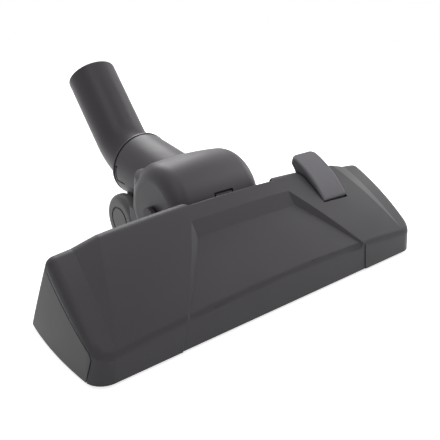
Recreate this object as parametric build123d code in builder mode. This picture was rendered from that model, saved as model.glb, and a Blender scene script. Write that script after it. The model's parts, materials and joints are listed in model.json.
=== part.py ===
# Vacuum floor brush head: a wedge-shaped head with a foot pedal and a brush frame,
# a tilting neck on two wheels and a bent connector tube that swivels in the neck.
#
# Millimetres. X runs along the head, Y from front to back, Z up from the floor.
# Sizes along Y are given as a depth behind the cover's front edge, and heights
# are above the floor. y_at() turns a depth into Y.
import os
from math import atan2, cos, degrees, radians, sin, sqrt, tan

from build123d import *

# Cover
cover_width = 266.0
end_bow = 3.0
end_lean = 7.0
bow_depth = 42.0
corner_round = 12.0
cover_depth = 88.0
rim_height = 2.0
crease_height = 25.0
slope_depth = 31.0
slope_height = 50.4
ridge_depth = 57.5
ridge_height = 66.4
crown_radius = 1150.0
edge_round = 6.0
cover_wall = 2.6

# Lower end of the slope on each side, and the fan-shaped band that leads down to it
fan_foot_inset = 14.0
fan_foot_depth = 3.0
fan_ridge_inset = 37.0
fan_turn = 14.0
end_drop = 3.3

# Recessed panel in the middle of the slope
panel_foot_half = 79.0
panel_front_half = 75.5
panel_rear_half = 41.0
panel_rear_depth = 35.8
panel_rear_height = 49.4
panel_top_depth = 42.6
panel_bulge = 1.0
panel_turn = 36.0
panel_step = 0.6

# End bumpers
bumper_thickness = 5.0
bumper_gap = 0.7
bumper_toe_depth = 11.0
bumper_knee = (6.8, 19.0)
bumper_shoulder = (57.0, 47.0)
bumper_knee_round = 5.0
end_wall = 3.4

# Sole
sole_thickness = 3.0
sole_clearance = 0.2
mouth_end_gap = 2.2
mouth_front = 24.0
mouth_rear = 40.0
runner_front = 5.0
runner_width = 4.0
runner_margin = 29.0
runner_notch = 9.0
runner_notch_pitch = 26.0
lint_width = 3.2
lint_half = 60.0
lint_thickness = 0.9
screw_front_depth = 14.0
screw_rear_depth = 62.0
screw_inner_depth = 66.0
screw_brush_gap = 8.0
screw_bay_gap = 14.5
boss_radius = 4.0
screw_head_radius = 2.8
screw_head_height = 1.9
screw_radius = 1.3
screw_length = 9.0
hole_clearance = 0.3

# Sole rollers
roller_margin = 35.0
roller_depth = 71.0
roller_radius = 6.5
roller_width = 8.0
roller_pin_radius = 1.5
roller_side_gap = 0.5
roller_cheek = 2.4

# Brush frame and bristles, drawn raised into the head
brush_margin = 27.0
brush_bar_width = 5.0
brush_bar_height = 4.0
brush_front = 15.0
brush_rear = 49.0
brush_slot_gap = 0.5
brush_lift = 1.0
bristle_length = 4.6
bristle_width = 3.0
bristle_pitch = 4.4
bristle_tuft = 3.2
bristle_back = 1.1
brush_tie_width = 4.0
brush_tie_height = 3.0
guide_side = 4.0
guide_height = 15.0
guide_gap = 0.2
guide_wall = 2.0

# Pedal: pivots on its pin and lowers the brush frame with its crank
pedal_x = 75.5
pedal_width = 23.0
pedal_gap = 0.7
pedal_front = (30.0, 48.6)
pedal_tip = (64.8, 72.4)
pedal_bulge = 3.6
pedal_thickness = 4.4
pedal_lip = 1.6
pedal_throat = (59.4, 61.6)
pedal_heel = (57.4, 52.5)
pedal_belly = (54.5, 49.5)
pedal_chin = (31.5, 44.4)
pedal_tip_round = 5.0
pedal_web_front = (36.0, 47.0)
pedal_web_rear = (54.0, 51.0)
pedal_pivot = (40.0, 37.0)
pedal_pin_radius = 2.0
pedal_hub_radius = 5.0
pedal_web_width = 9.0
pedal_edge = 1.6
crank_radius = 20.0
crank_rise = 8.0
crank_pin_radius = 2.0
crank_width = 6.0
link_width = 4.0
link_gap = 0.3
rib_width = 3.0
pocket_floor = 43.5
pocket_chamfer = 9.0
pocket_dip = 6.0
pocket_depth = 50.0
spring_thickness = 0.6
spring_width = 8.0

# Air duct
duct_wall = 1.8
duct_height = 15.0
riser_half = 26.0
aperture_half = 23.0
aperture_start = 192.0
aperture_end = 236.0

# Neck: tilts about the hinge pins
tilt_depth = 94.0
tilt_height = 44.0
drum_radius = 34.5
drum_half = 36.5
drum_shoulder_half = 26.0
drum_shoulder = 33.2
drum_end_radius = 20.0
drum_wall = 3.0
drum_gap = 1.0
ear_gap = 1.0
ear_width = 3.5
ear_skin = 1.0
ear_radius = 5.0
ear_root_depth = 66.0
ear_root_low = 20.0
ear_root_high = 40.0
hinge_pin_radius = 3.0
hinge_boss_radius = 6.5
hinge_boss_depth = 3.0
parting_height = 38.0
notch_half = 36.0
notch_shoulder_half = 39.5
notch_depth = 52.5
notch_floor = 50.0
seal_height = 3.0
seal_gap = 0.35
seal_seat = 0.8

# Cheeks of the hood beside the collar
cheek_half = 35.5
cheek_radius = 26.0
cheek_top = (102.0, 71.5)
cheek_corner = (121.5, 66.5)
cheek_heel = 127.0
cheek_round = 7.0

# Collar and connector tube
collar_rise = 7.0
collar_radius = 24.9
collar_bore = 22.0
collar_start = 26.0
collar_length = 71.3
collar_shoulder = 40.0
collar_relief = 23.4
slit_width = 1.3
slit_floor = 23.2
tab_end = 163.5
tab_start = 152.0
tab_low = 44.6
tab_high = 57.3
window_span = (-7.0, 9.0)
window_angle = 153.3
window_foot = 163.0
swivel_gap = 0.7
running_gap = 0.05
tube_radius = 20.0
tube_rise = 46.1
tube_bend_radius = 50.0
tube_start = 0.2
tube_length = 60.0
tube_rim_round = 1.0
tube_bore = 16.8
wand_bore = 17.5
wand_depth = 45.0
flange_radius = 25.3
flange_thickness = 1.8
ring_width = 1.7
ring_radius = 22.9
ring_groove = 20.4
ring_gap = 0.3
face_seal_inner = 22.8
face_seal_outer = 24.0
face_seal_depth = 1.0
face_seal_proud = 0.3

# Rear wheels and their axle
wheel_depth = 145.0
wheel_radius = 20.0
wheel_inner = 22.5
wheel_width = 12.0
wheel_round = 5.0
wheel_groove_radius = 10.5
wheel_groove_width = 1.4
wheel_groove_depth = 0.9
wheel_gap = 1.4
axle_radius = 3.0
axle_boss_radius = 13.0
keel_gap = 0.6
neck_screw_x = 30.3
neck_screw_places = [(106.0, 28.0), (117.0, 36.4)]
neck_screw_head = 1.9
neck_screw_head_height = 1.5
neck_screw_radius = 1.1
neck_screw_length = 16.0
neck_boss_radius = 4.2

# Places worked out from the sizes above
collar_end_depth = tilt_depth + collar_length * cos(radians(collar_rise))
collar_step = swivel_gap + flange_thickness + tube_start
bend_depth = collar_end_depth + collar_step * cos(radians(collar_rise))
tube_knee_depth = bend_depth + tube_bend_radius * (sin(radians(tube_rise)) - sin(radians(collar_rise)))
tube_end_depth = tube_knee_depth + tube_length * cos(radians(tube_rise))
overall_depth = (tube_end_depth + (tube_radius - tube_rim_round) * sin(radians(tube_rise))
                 + tube_rim_round * (1 - cos(radians(tube_rise))))
front_y = -overall_depth / 2
sole_top = rim_height + sole_thickness
bay_radius = drum_radius + drum_gap
bay_half = drum_half + ear_gap
cavity_half = cover_width / 2 - bumper_thickness - end_wall
pin_end = bay_half + ear_width - ear_skin
brush_half = cover_width / 2 - brush_margin
runner_half = cover_width / 2 - runner_margin
roller_x = cover_width / 2 - roller_margin
mouth_half = brush_half - brush_tie_width - mouth_end_gap - duct_wall
screw_x = brush_half + screw_brush_gap
screw_places = [(screw_x, screw_front_depth), (screw_x, screw_rear_depth),
                (bay_half + screw_bay_gap, screw_inner_depth)]
brush_bar_low = sole_top + brush_lift
tie_low = brush_bar_low + brush_bar_height + brush_lift
wheel_height = wheel_radius


def y_at(depth):
    """Y of a place at a depth behind the cover's front edge."""
    return front_y + depth


def side_plane(x):
    """Upright plane across X whose own axes are depth and height."""
    return Plane(origin=(x, front_y, 0), x_dir=(0, 1, 0), z_dir=(1, 0, 0))


def floor_plane(height):
    """Level plane whose own axes are X and depth."""
    return Plane(origin=(0, front_y, height))


def front_plane(depth):
    """Upright plane across Y whose own axes are X and height."""
    return Plane(origin=(0, y_at(depth), 0), x_dir=(1, 0, 0), z_dir=(0, -1, 0))


def axis_plane(depth, height):
    """Plane through an axle, whose own axes are X and the radius forwards and up."""
    return Plane(origin=(0, y_at(depth), height), x_dir=(1, 0, 0), z_dir=(0, -1, 0))


def cuboid(x_range, depth_range, height_range, mode=Mode.ADD):
    """Block between two limits along each axis, joined to the piece being built."""
    size = [high - low for low, high in (x_range, depth_range, height_range)]
    with Locations((x_range[0], y_at(depth_range[0]), height_range[0])):
        Box(*size, align=(Align.MIN, Align.MIN, Align.MIN), mode=mode)


def rod(x_range, depth, height, radius, mode=Mode.ADD):
    """Cylinder along X, joined to the piece being built."""
    middle = (x_range[0] + x_range[1]) / 2
    with Locations(Location((middle, y_at(depth), height), (0, 90, 0))):
        Cylinder(radius, x_range[1] - x_range[0], mode=mode)


def post(x, depth, height_range, radius, mode=Mode.ADD):
    """Upright cylinder, joined to the piece being built."""
    with Locations((x, y_at(depth), height_range[0])):
        Cylinder(radius, height_range[1] - height_range[0],
                 align=(Align.CENTER, Align.CENTER, Align.MIN), mode=mode)


def either_way(x_range):
    """The same range on the left and on the right."""
    return [(-x_range[1], -x_range[0]), x_range]


def crown_drop(x):
    """How far the crowned cover has come down at a distance from its middle."""
    return crown_radius - sqrt(crown_radius ** 2 - x ** 2)


crown_axis = Axis((0, 0, ridge_height - crown_radius), (0, 1, 0))
crown_arc = degrees(atan2(cover_width / 2 + 2 * end_bow, crown_radius)) + 1
slope_arc = ThreePointArc((0, crease_height), (slope_depth, slope_height), (ridge_depth, ridge_height))


def slope_at(x, depth):
    """Height of the cover's crowned slope."""
    run = depth - slope_arc.arc_center.X
    return slope_arc.arc_center.Y + sqrt(slope_arc.radius ** 2 - run ** 2) - crown_drop(x)


def slope_form(inset):
    """All that lies under the crowned slope, which runs on past the cover's edges."""
    with BuildPart() as form:
        with BuildSketch(side_plane(0)):
            with Locations((slope_arc.arc_center.X, slope_arc.arc_center.Y)):
                Circle(slope_arc.radius - inset)
        revolve(axis=crown_axis, revolution_arc=4 * crown_arc)
    return form.part.rotate(crown_axis, -2 * crown_arc)


def stepped_end(side, inset):
    """The slope turned down along the fan's band and, beyond it, lowered towards the ridge."""
    foot_x = cover_width / 2 - fan_foot_inset
    ridge_x = cover_width / 2 - fan_ridge_inset
    foot = Vector(side * foot_x, y_at(fan_foot_depth), slope_at(foot_x, fan_foot_depth))
    ridge = Vector(side * ridge_x, y_at(ridge_depth), slope_at(ridge_x, ridge_depth))
    drop_turn = degrees(atan2(end_drop, ridge_depth - fan_foot_depth))
    with BuildPart() as form:
        add(slope_form(inset).rotate(Axis(foot, ridge - foot), side * fan_turn))
        add(slope_form(inset).rotate(Axis(foot, (1, 0, 0)), -drop_turn))
    return form.part


def wedge(inset, foot):
    """The head's crowned wedge with its stepped ends, inset all round, down to a foot."""
    rear_lean = (cover_depth - ridge_depth) / (ridge_height - rim_height)
    low = foot - 3 * crown_drop(cover_width / 2)
    low_depth = cover_depth + (rim_height - low) * rear_lean
    half = cover_width / 2 + (rim_height - foot) * tan(radians(end_lean))
    back = bow_depth * (1 + sqrt(2))
    with BuildPart() as form:
        with BuildSketch(side_plane(0)):
            with BuildLine():
                Line((0, low), (0, crease_height))
                ThreePointArc((0, crease_height), (slope_depth, slope_height),
                              (ridge_depth, ridge_height))
                Line((ridge_depth, ridge_height), (low_depth, low))
                Line((low_depth, low), (0, low))
            make_face()
            if inset:
                offset(amount=-inset, kind=Kind.INTERSECTION)
        revolve(axis=crown_axis, revolution_arc=crown_arc)
        mirror(about=Plane.YZ)
        for side in (-1, 1):
            with BuildSketch(floor_plane(foot)) as plan:
                with BuildLine():
                    ThreePointArc((side * half, 0), (side * (half + end_bow), bow_depth),
                                  (side * (half - end_bow), back))
                    Polyline((side * (half - end_bow), back), (-2 * side * half, back),
                             (-2 * side * half, 0), (side * half, 0))
                make_face()
                fillet(plan.vertices().sort_by_distance((side * half, 0, 0))[0], radius=corner_round)
                if inset:
                    offset(amount=-inset, kind=Kind.INTERSECTION)
            lean = (-side * sin(radians(end_lean)), 0, cos(radians(end_lean)))
            extrude(amount=3 * ridge_height, dir=lean, mode=Mode.INTERSECT)
            add(stepped_end(side, inset), mode=Mode.INTERSECT)
    return form.part


def rounded_wedge():
    """The outside of the head, with every edge rounded but the bands' own creases."""
    with BuildPart() as form:
        add(wedge(0, rim_height))
        floor_edges = form.faces().sort_by(Axis.Z)[0].edges()
        walls = form.faces().filter_by(lambda face: abs(face.normal_at().Z) < 0.6)
        sharp = walls.edges().filter_by(lambda edge: abs(edge.tangent_at(0.5).Z) < 0.99)
        fillet([edge for edge in sharp if edge not in floor_edges], radius=edge_round)
    return form.part


def neck_bay(grow):
    """Room in the cover for the neck's drum and, above it, the notch in the ridge."""
    half = bay_half + grow
    with BuildPart() as bay:
        rod((-half, half), tilt_depth, tilt_height, bay_radius + grow)
        with BuildSketch(floor_plane(notch_floor - grow)):
            with BuildLine():
                Polyline((-notch_shoulder_half - grow, tilt_depth),
                         (-notch_shoulder_half - grow, ridge_depth + 1 - grow),
                         (-notch_half - grow, notch_depth - grow),
                         (notch_half + grow, notch_depth - grow),
                         (notch_shoulder_half + grow, ridge_depth + 1 - grow),
                         (notch_shoulder_half + grow, tilt_depth), close=True)
            make_face()
        extrude(amount=ridge_height)
    return bay.part


def pedal_pocket(grow):
    """The chamfered dip in the ridge either side of the pedal."""
    half = pedal_width / 2 + pedal_gap
    top = ridge_height + 1
    low = ridge_height - pocket_dip - grow
    run = pocket_chamfer * (1 + 1 / pocket_dip)
    with BuildPart() as pocket:
        with BuildSketch(front_plane(pocket_depth - grow)):
            with BuildLine():
                Polyline((pedal_x - half - run - grow, top), (pedal_x - half - grow, low),
                         (pedal_x + half + grow, low), (pedal_x + half + run + grow, top), close=True)
            make_face()
        extrude(amount=pocket_depth - cover_depth)
    return pocket.part


def bumper_block(grow):
    """Block behind each end's gap line, which bounds the bumper seen from the side."""
    inner = cover_width / 2 - bumper_thickness
    outer = cover_width / 2 + 4 * end_bow
    with BuildPart() as block:
        with BuildSketch(side_plane(inner)) as outline:
            with BuildLine():
                Polyline((bumper_toe_depth, -rim_height), bumper_knee, bumper_shoulder,
                         (bumper_shoulder[0] + 2, ridge_height), (cover_depth + 20, ridge_height),
                         (cover_depth + 20, -rim_height), close=True)
            make_face()
            fillet(outline.vertices().sort_by_distance((*bumper_knee, 0))[0], radius=bumper_knee_round)
            if grow:
                offset(amount=grow, kind=Kind.INTERSECTION)
        extrude(amount=outer - inner)
        mirror(about=Plane.YZ)
    return block.part


far = 3 * ridge_height
panel_front = (panel_step, crease_height - panel_step)
panel_rear = (panel_rear_depth, panel_rear_height)
panel_fall = atan2(panel_rear[1] - panel_front[1], panel_rear[0] - panel_front[0])


def panel_core():
    """What is cut away over the panel's floor and rear band, across the whole width."""
    middle = ((panel_front[0] + panel_rear[0]) / 2 - panel_bulge * sin(panel_fall),
              (panel_front[1] + panel_rear[1]) / 2 + panel_bulge * cos(panel_fall))
    band_lean = (panel_top_depth - panel_rear_depth) / (slope_at(0, panel_top_depth) - panel_rear_height)
    band_end = (panel_rear_depth + (far - panel_rear_height) * band_lean, far)
    with BuildPart() as core:
        with BuildSketch(side_plane(0)) as section:
            with BuildLine():
                Line((panel_step, -far), panel_front)
                ThreePointArc(panel_front, middle, panel_rear)
                Polyline(panel_rear, band_end, (-far, far), (-far, -far), (panel_step, -far))
            make_face()
            crease = section.vertices().sort_by_distance((*panel_front, 0))[0]
            fillet(crease, radius=edge_round - panel_step)
        revolve(axis=crown_axis, revolution_arc=2 * crown_arc)
    return core.part.rotate(crown_axis, -crown_arc)


def panel_band(side):
    """The slope turned down towards the panel about the panel's outer edge on one side."""
    front, rear = (Vector(side * x, y_at(depth), slope_at(x, depth)) for x, depth in
                   ((panel_front_half, 0), (panel_rear_half, panel_top_depth)))
    return slope_form(0).rotate(Axis(front, rear - front), -side * panel_turn)


def panel_cut():
    """All that is cut away to sink the panel into the slope and, by a step, into the front wall."""
    with BuildPart() as cut:
        add(panel_core())
        for side in (-1, 1):
            add(panel_band(side), mode=Mode.SUBTRACT)
        with BuildSketch(front_plane(panel_step)):
            with BuildLine():
                Polyline((-panel_foot_half, rim_height), (panel_foot_half, rim_height),
                         (panel_front_half, crease_height), (-panel_front_half, crease_height), close=True)
            make_face()
        extrude(amount=panel_step)
    return cut.part


def cover_cavity():
    """The hollow under the cover, clear of the neck's bay and of the dip beside the pedal."""
    with BuildPart() as cavity:
        add(wedge(cover_wall, -ridge_height))
        cuboid((-cavity_half, cavity_half), (0, 2 * cover_depth), (-ridge_height, ridge_height),
               mode=Mode.INTERSECT)
        add(neck_bay(cover_wall), mode=Mode.SUBTRACT)
        add(pedal_pocket(cover_wall), mode=Mode.SUBTRACT)
        sink = Location((0, cover_wall * sin(panel_fall), -cover_wall * cos(panel_fall)))
        add(panel_cut().moved(sink), mode=Mode.SUBTRACT)
    return cavity.part


def cover_posts(outside):
    """Screw posts and pedal ribs that hang from the cover, cut off at its outside."""
    rib_start = pedal_width / 2 + pedal_gap
    rib_half = pedal_hub_radius + 2
    with BuildPart() as posts:
        for x, depth in screw_places:
            for place in (-x, x):
                post(place, depth, (sole_top, ridge_height), boss_radius)
        for low, high in either_way((rib_start, rib_start + rib_width)):
            cuboid((pedal_x + low, pedal_x + high),
                   (pedal_pivot[0] - rib_half, pedal_pivot[0] + rib_half),
                   (pedal_pivot[1] - rib_half, ridge_height))
        add(outside, mode=Mode.INTERSECT)
    return posts.part


tilt_axis = Axis((0, y_at(tilt_depth), tilt_height), (1, 0, 0))


def sector(x_range, inner, outer, start, end):
    """Arched strip about the tilt axis between two angles, counted from the rear and up."""
    lean = radians(start)
    with BuildPart() as strip:
        with BuildSketch(Plane(origin=tilt_axis.position, x_dir=(1, 0, 0),
                               z_dir=(0, -sin(lean), cos(lean)))):
            with Locations(((x_range[0] + x_range[1]) / 2, (inner + outer) / 2)):
                Rectangle(x_range[1] - x_range[0], outer - inner)
        revolve(axis=tilt_axis, revolution_arc=end - start)
    return strip.part


def drum(inset):
    """The neck's barrel about the tilt axis, inset all round."""
    half = drum_half - inset
    shoulder = drum_shoulder - inset
    end = drum_end_radius - inset
    bulge = (drum_shoulder_half + (half - drum_shoulder_half) * sin(radians(45)),
             end + (shoulder - end) * sin(radians(45)))
    with BuildPart() as barrel:
        with BuildSketch(axis_plane(tilt_depth, tilt_height)):
            with BuildLine():
                Line((-half, 0), (-half, end))
                ThreePointArc((-half, end), (-bulge[0], bulge[1]), (-drum_shoulder_half, shoulder))
                ThreePointArc((-drum_shoulder_half, shoulder), (0, drum_radius - inset),
                              (drum_shoulder_half, shoulder))
                ThreePointArc((drum_shoulder_half, shoulder), bulge, (half, end))
                Line((half, end), (half, 0))
                Line((half, 0), (-half, 0))
            make_face()
        revolve(axis=tilt_axis)
    return barrel.part


collar_way = Vector(0, cos(radians(collar_rise)), sin(radians(collar_rise)))


def collar_plane(along):
    """Plane across the collar's axis, at a distance along it from the tilt axis."""
    return Plane(origin=tilt_axis.position + collar_way * along, x_dir=(1, 0, 0), z_dir=collar_way)


def collar_rod(radius, start, end):
    """Cylinder on the collar's axis between two distances from the tilt axis."""
    with BuildPart() as cylinder:
        with BuildSketch(collar_plane(start)):
            Circle(radius)
        extrude(amount=end - start)
    return cylinder.part


def hood_cheeks():
    """The fairing that runs back from the drum on both sides of the collar."""
    with BuildPart() as cheeks:
        front = (tilt_depth - cheek_radius, tilt_height)
        crown = (tilt_depth, tilt_height + cheek_radius)
        with BuildSketch(side_plane(-cheek_half)):
            with BuildLine():
                RadiusArc(front, crown, cheek_radius)
                Polyline(crown, cheek_top, cheek_corner, (cheek_heel, parting_height),
                         (front[0], parting_height), front)
            make_face()
        extrude(amount=2 * cheek_half)
        flanks = cheeks.faces().filter_by(Axis.X).edges()
        fillet(flanks.filter_by(lambda edge: edge.center().Z > parting_height + 1), radius=cheek_round)
    return cheeks.part


def neck_keel():
    """Lower fairing of the neck and the keel between the wheels that carries their axle."""
    keel_half = wheel_inner - keel_gap
    with BuildPart() as keel:
        with BuildSketch(side_plane(-cheek_half)):
            with BuildLine():
                Polyline((tilt_depth, parting_height), (cheek_heel, parting_height),
                         (wheel_depth - wheel_radius, tilt_height - collar_radius),
                         (tilt_depth + 8, tilt_height - collar_radius - 3),
                         (tilt_depth, tilt_height - collar_radius - 1), close=True)
            make_face()
        extrude(amount=2 * cheek_half)
        with BuildSketch(side_plane(-keel_half)):
            with BuildLine():
                Polyline((tilt_depth + 4, parting_height), (wheel_depth + 8, parting_height),
                         (wheel_depth + 8, wheel_height), (wheel_depth, wheel_height - axle_boss_radius),
                         (wheel_depth - 8, wheel_height - 10), (tilt_depth + 10, wheel_height - 4), close=True)
            make_face()
        extrude(amount=2 * keel_half)
        rod((-keel_half, keel_half), wheel_depth, wheel_height, axle_boss_radius)
    return keel.part


def neck_bosses():
    """Screw bosses inside the drum, against its ends."""
    depth, seat = neck_screw_places[0]
    with BuildPart() as bosses:
        for x in (-neck_screw_x, neck_screw_x):
            post(x, depth, (0, seat + neck_screw_length + drum_wall), neck_boss_radius)
        add(drum(0), mode=Mode.INTERSECT)
    return bosses.part


def wheel_arches(inner):
    """Room for both wheels, from a distance off the middle outwards."""
    with BuildPart() as arches:
        for span in either_way((inner, 2 * cheek_half)):
            rod(span, wheel_depth, wheel_height, wheel_radius + wheel_gap)
    return arches.part


# Forms that several pieces share
outside = rounded_wedge()
arches = wheel_arches(wheel_inner - keel_gap)
pedal_half = pedal_width / 2
crank_place = (pedal_pivot[0] + crank_radius * cos(radians(crank_rise)),
               pedal_pivot[1] + crank_radius * sin(radians(crank_rise)))
link_start = pedal_x + crank_width / 2 + 2 * link_gap
link_span = (link_start, link_start + link_width)
seal_strip = sector((-riser_half, riser_half), drum_radius + seal_gap, bay_radius + seal_seat, 180,
                    180 + degrees(seal_height / bay_radius))
aperture = (-aperture_half, aperture_half)
slot_half = brush_bar_width / 2 + brush_slot_gap
os.makedirs("parts", exist_ok=True)

# Upper shell
with BuildPart() as upper_shell:
    add(outside)
    add(bumper_block(bumper_gap), mode=Mode.SUBTRACT)
    add(panel_cut(), mode=Mode.SUBTRACT)
    add(cover_cavity(), mode=Mode.SUBTRACT)
    add(pedal_pocket(0), mode=Mode.SUBTRACT)
    add(cover_posts(outside))
    for span in either_way((bay_half, bay_half + ear_width)):
        with BuildSketch(side_plane(span[0])):
            with BuildLine():
                CenterArc((tilt_depth, tilt_height), ear_radius, 0, 360)
                Line((ear_root_depth, ear_root_low), (ear_root_depth, ear_root_high))
            make_hull()
        extrude(amount=ear_width)
    for span in either_way((bay_half, pin_end)):
        rod(span, tilt_depth, tilt_height, hinge_pin_radius + running_gap, mode=Mode.SUBTRACT)
    add(neck_bay(0), mode=Mode.SUBTRACT)
    add(sector(aperture, bay_radius - 1, bay_radius + 2 * cover_wall, aperture_start, aperture_end),
        mode=Mode.SUBTRACT)
    add(seal_strip, mode=Mode.SUBTRACT)
    cuboid((pedal_x - pedal_half - pedal_gap, pedal_x + pedal_half + pedal_gap),
           (pedal_front[0] - pedal_gap, cover_depth), (pocket_floor, 2 * ridge_height), mode=Mode.SUBTRACT)
    rib_end = pedal_half + pedal_gap + rib_width
    rod((pedal_x - rib_end, pedal_x + rib_end), *pedal_pivot, pedal_pin_radius + running_gap,
        mode=Mode.SUBTRACT)
    for x, depth in screw_places:
        for place in (-x, x):
            post(place, depth, (sole_top, sole_top + screw_length), screw_radius + running_gap,
                 mode=Mode.SUBTRACT)
upper_shell.part.label = "upper_shell"
export_step(upper_shell.part, "parts/upper_shell.step")

# End bumpers
for name, keep in (("left_bumper", Keep.BOTTOM), ("right_bumper", Keep.TOP)):
    with BuildPart() as bumper:
        add(outside)
        add(bumper_block(0), mode=Mode.INTERSECT)
        split(bisect_by=Plane.YZ, keep=keep)
    bumper.part.label = name
    export_step(bumper.part, f"parts/{name}.step")

# Sole plate
with BuildPart() as sole_plate:
    add(wedge(cover_wall + sole_clearance, -ridge_height))
    edge = cavity_half - sole_clearance
    cuboid((-edge, edge), (0, cover_depth), (rim_height, sole_top), mode=Mode.INTERSECT)
    for start in (runner_front, brush_rear + slot_half + runner_width):
        cuboid((-runner_half, runner_half), (start, start + runner_width), (0, rim_height))
    with GridLocations(runner_notch_pitch, 1, 7, 1):
        with Locations((0, y_at(runner_front + runner_width / 2), rim_height / 2)):
            Box(runner_notch, runner_width, rim_height, mode=Mode.SUBTRACT)
    cuboid((-mouth_half, mouth_half), (mouth_front, mouth_rear), (0, sole_top), mode=Mode.SUBTRACT)
    for middle in (brush_front, brush_rear):
        cuboid((-brush_half - brush_slot_gap, brush_half + brush_slot_gap),
               (middle - slot_half, middle + slot_half), (0, sole_top), mode=Mode.SUBTRACT)
    for x in (-brush_half, brush_half):
        cuboid((x - guide_side / 2, x + guide_side / 2),
               ((brush_front + brush_rear - guide_side) / 2, (brush_front + brush_rear + guide_side) / 2),
               (sole_top, sole_top + guide_height))
    room = roller_width / 2 + roller_side_gap
    for x in (-roller_x, roller_x):
        cuboid((x - room, x + room), (roller_depth - roller_radius - 1, roller_depth + roller_radius + 1),
               (0, sole_top), mode=Mode.SUBTRACT)
        for low, high in either_way((room, room + roller_cheek)):
            cuboid((x + low, x + high), (roller_depth - roller_cheek - 1.5, roller_depth + roller_cheek + 1.5),
                   (sole_top, roller_radius + 2 * roller_pin_radius))
        rod((x - room - roller_cheek, x + room + roller_cheek), roller_depth, roller_radius,
            roller_pin_radius + running_gap, mode=Mode.SUBTRACT)
    for x, depth in screw_places:
        for place in (-x, x):
            post(place, depth, (0, rim_height + screw_head_height), screw_head_radius + hole_clearance,
                 mode=Mode.SUBTRACT)
            post(place, depth, (0, sole_top), screw_radius + hole_clearance, mode=Mode.SUBTRACT)
sole_plate.part.label = "sole_plate"
export_step(sole_plate.part, "parts/sole_plate.step")

# Screws that hold the sole to the cover
with BuildPart() as sole_screws:
    for x, depth in screw_places:
        for place in (-x, x):
            post(place, depth, (rim_height, rim_height + screw_head_height), screw_head_radius)
            post(place, depth, (rim_height + screw_head_height, sole_top + screw_length), screw_radius)
sole_screws.part.label = "sole_screws"
export_step(sole_screws.part, "parts/sole_screws.step")

# Lint strips on the sole, before and behind the mouth
for name, start in (("front_lint_strip", mouth_front - lint_width - 0.6), ("rear_lint_strip", mouth_rear + 0.6)):
    with BuildPart() as lint_strip:
        cuboid((-lint_half, lint_half), (start, start + lint_width), (rim_height - lint_thickness, rim_height))
    lint_strip.part.label = name
    export_step(lint_strip.part, f"parts/{name}.step")

# Air duct from the mouth to the neck
duct_floor = tie_low + 0.2
with BuildPart() as air_duct:
    cuboid((-mouth_half - duct_wall, mouth_half + duct_wall), (mouth_front - duct_wall, mouth_rear + duct_wall),
           (sole_top, duct_height))
    with BuildSketch(side_plane(-riser_half)):
        with BuildLine():
            Polyline((mouth_front, duct_height), (mouth_rear + 4, parting_height), (tilt_depth, parting_height),
                     (tilt_depth, duct_floor), (mouth_rear, duct_floor), close=True)
        make_face()
    extrude(amount=2 * riser_half)
    cuboid((-mouth_half, mouth_half), (mouth_front, mouth_rear), (0, duct_height - duct_wall), mode=Mode.SUBTRACT)
    with BuildSketch(side_plane(-riser_half + duct_wall)):
        with BuildLine():
            Polyline((mouth_front + duct_wall, duct_height - 2 * duct_wall),
                     (mouth_rear + 4 + duct_wall, parting_height - duct_wall),
                     (tilt_depth, parting_height - duct_wall), (tilt_depth, duct_floor + duct_wall),
                     (mouth_rear, duct_floor + duct_wall), (mouth_rear, duct_height - 2 * duct_wall), close=True)
        make_face()
    extrude(amount=2 * (riser_half - duct_wall), mode=Mode.SUBTRACT)
    rod((-2 * riser_half, 2 * riser_half), tilt_depth, tilt_height, bay_radius + cover_wall + sole_clearance,
        mode=Mode.SUBTRACT)
air_duct.part.label = "air_duct"
export_step(air_duct.part, "parts/air_duct.step")

# Seal between the bay and the neck's drum
with BuildPart() as drum_seal:
    add(seal_strip)
drum_seal.part.label = "drum_seal"
export_step(drum_seal.part, "parts/drum_seal.step")

# Hinge pins
pin_start = drum_half - drum_wall - hinge_boss_depth
for name, span in zip(("left_hinge_pin", "right_hinge_pin"), either_way((pin_start, pin_end - link_gap))):
    with BuildPart() as hinge_pin:
        rod(span, tilt_depth, tilt_height, hinge_pin_radius)
    hinge_pin.part.label = name
    export_step(hinge_pin.part, f"parts/{name}.step")

# Pedal pin
with BuildPart() as pedal_pin:
    rod((pedal_x - rib_end, pedal_x + rib_end), *pedal_pivot, pedal_pin_radius)
pedal_pin.part.label = "pedal_pin"
export_step(pedal_pin.part, "parts/pedal_pin.step")

# Leaf spring that holds the pedal in either place
nose = pedal_pivot[0] - pedal_hub_radius - link_gap
with BuildPart() as detent_spring:
    with BuildSketch(side_plane(pedal_x - spring_width / 2)):
        with BuildLine():
            Polyline((nose - 9, duct_height), (nose - 1.2, duct_height), (nose - 1.2, pedal_pivot[1] - 6),
                     (nose, pedal_pivot[1]), (nose - 1.2, pedal_pivot[1] + 6),
                     (nose - 1.2 - spring_thickness, pedal_pivot[1] + 6),
                     (nose - spring_thickness, pedal_pivot[1]),
                     (nose - 1.2 - spring_thickness, pedal_pivot[1] - 6),
                     (nose - 1.2 - spring_thickness, duct_height + spring_thickness),
                     (nose - 9, duct_height + spring_thickness), close=True)
        make_face()
    extrude(amount=spring_width)
detent_spring.part.label = "detent_spring"
export_step(detent_spring.part, "parts/detent_spring.step")

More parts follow.
